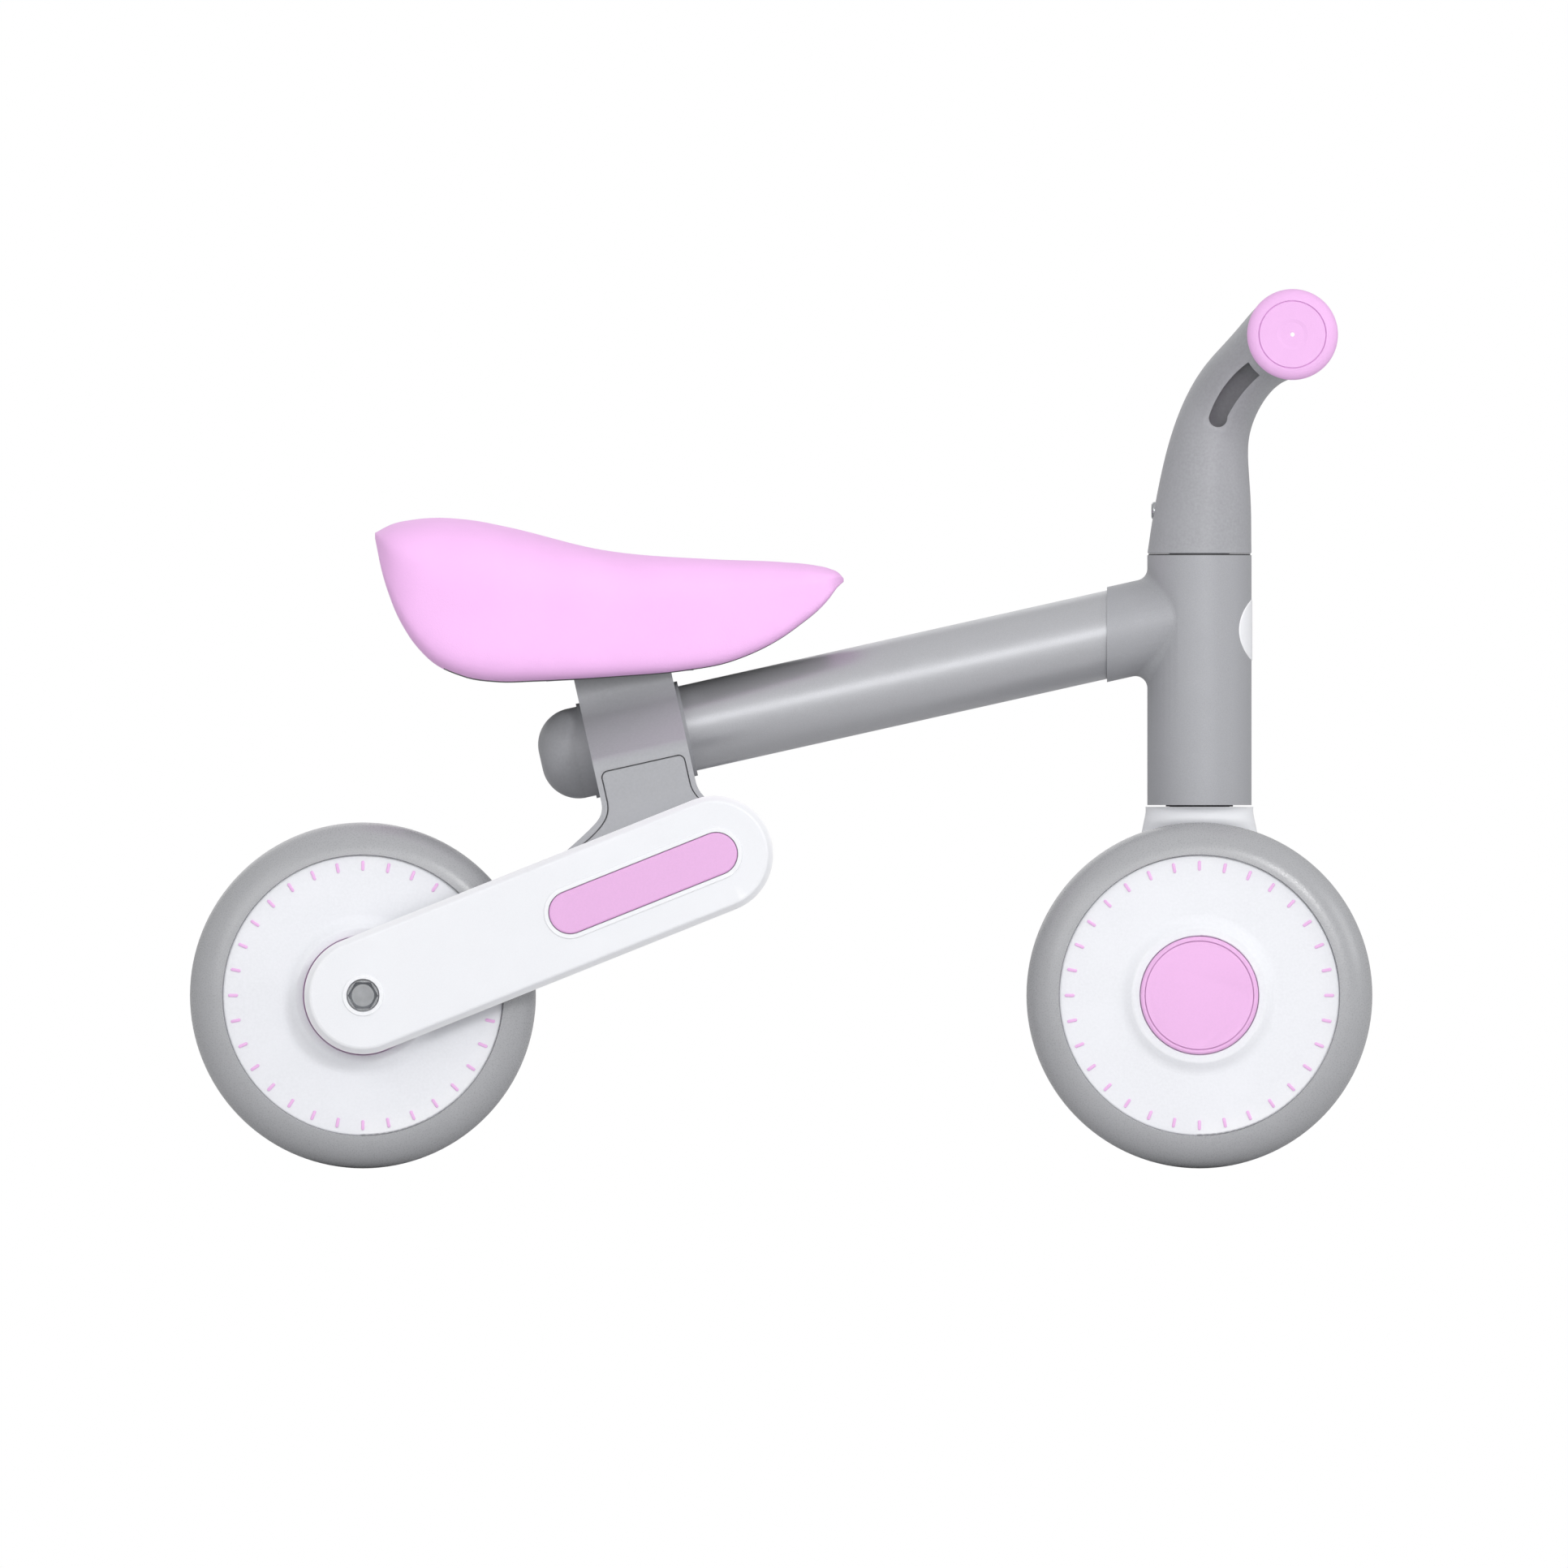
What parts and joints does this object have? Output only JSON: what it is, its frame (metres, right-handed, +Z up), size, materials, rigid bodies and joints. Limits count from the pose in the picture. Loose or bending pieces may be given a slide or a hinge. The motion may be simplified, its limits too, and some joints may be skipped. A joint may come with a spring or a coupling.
{
  "type": "toddler balance bike",
  "caption": "Low toddler balance bike with paired front wheels on a central fork, rear wheels between side arms, a foam saddle and a straight handlebar.",
  "frame": {"origin": "on the floor, midway between front and rear axles, in the middle plane", "axes": "+X towards the front wheels, +Y to the rider's left, +Z up"},
  "size_m": [0.499, 0.1852, 0.3711],
  "materials": {
    "tyre_foam": "matte, fine-grained foam",
    "wheel_white": "matte, fine texture",
    "white_plastic": "satin",
    "pink_plastic": "satin",
    "saddle_foam": "matte moulded skin",
    "grip_rubber": "matte",
    "grey_paint": "satin metallic paint",
    "grey_casting": "satin powder coat",
    "grey_plastic": "matte, fine texture",
    "black_nylon": "matte",
    "black_steel": "black e-coat",
    "steel": "zinc plated",
    "chrome_steel": "bright plated"
  },
  "bodies": {
    "frame": {"main_tube": "grey_paint", "head_lug": "grey_casting", "tube_end_cap": "grey_plastic", "headset_bushes": "black_nylon", "yoke": "grey_plastic", "yoke_liners": "grey_plastic", "yoke_bolt": "steel", "side_panel_left": "grey_plastic", "side_panel_right": "grey_plastic", "arm_left": "white_plastic", "arm_right": "white_plastic", "arm_insert_left": "pink_plastic", "arm_insert_right": "pink_plastic", "arm_bolts": "steel", "arm_nuts": "steel", "rear_axle": "steel", "rear_axle_bolts": "chrome_steel", "rear_spacers": "black_nylon", "seat_base": "grey_plastic", "seat_pad": "saddle_foam", "seat_screws": "steel"},
    "steering": {"fork_core": "black_steel", "fork_cover_left": "white_plastic", "fork_cover_right": "white_plastic", "fork_screws": "steel", "steering_stop_pin": "steel", "stem": "grey_plastic", "handlebar": "black_steel", "grip_left": "grip_rubber", "grip_right": "grip_rubber", "button_spring": "steel", "front_axle": "steel", "front_axle_bolts": "chrome_steel", "front_spacers": "black_nylon"},
    "stem_button": {"stem_button": "chrome_steel"},
    "front_wheel_left": {"front_tyre_left": "tyre_foam", "front_rim_outer_left": "wheel_white", "front_rim_inner_left": "wheel_white", "front_rim_screws_left": "steel", "front_bushes_left": "black_nylon", "front_hub_cap_left": "pink_plastic"},
    "front_wheel_right": {"front_tyre_right": "tyre_foam", "front_rim_outer_right": "wheel_white", "front_rim_inner_right": "wheel_white", "front_rim_screws_right": "steel", "front_bushes_right": "black_nylon", "front_hub_cap_right": "pink_plastic"},
    "rear_wheel_left": {"rear_tyre_left": "tyre_foam", "rear_rim_outer_left": "wheel_white", "rear_rim_inner_left": "wheel_white", "rear_rim_screws_left": "steel", "rear_bushes_left": "black_nylon", "rear_hub_cap_left": "pink_plastic"},
    "rear_wheel_right": {"rear_tyre_right": "tyre_foam", "rear_rim_outer_right": "wheel_white", "rear_rim_inner_right": "wheel_white", "rear_rim_screws_right": "steel", "rear_bushes_right": "black_nylon", "rear_hub_cap_right": "pink_plastic"}
  },
  "joints": [
    {"name": "steer", "type": "hinge", "parent": "frame", "child": "steering", "pos_m": [0.1765, 0, 0.2], "axis": [0, 0, 1], "range_deg": [-67.5, 67.5]},
    {"name": "front_left_spin", "type": "hinge", "parent": "steering", "child": "front_wheel_left", "pos_m": [0.1765, 0.033, 0.073], "axis": [0, 1, 0], "continuous": true},
    {"name": "front_right_spin", "type": "hinge", "parent": "steering", "child": "front_wheel_right", "pos_m": [0.1765, -0.033, 0.073], "axis": [0, 1, 0], "continuous": true},
    {"name": "rear_left_spin", "type": "hinge", "parent": "frame", "child": "rear_wheel_left", "pos_m": [-0.1765, 0.038, 0.073], "axis": [0, 1, 0], "continuous": true},
    {"name": "rear_right_spin", "type": "hinge", "parent": "frame", "child": "rear_wheel_right", "pos_m": [-0.1765, -0.038, 0.073], "axis": [0, 1, 0], "continuous": true},
    {"name": "button_press", "type": "slide", "parent": "steering", "child": "stem_button", "axis": [1, 0, 0], "range_m": [0, 0.006], "stiffness_N_per_m": 300, "deforming": ["button_spring"]}
  ]
}
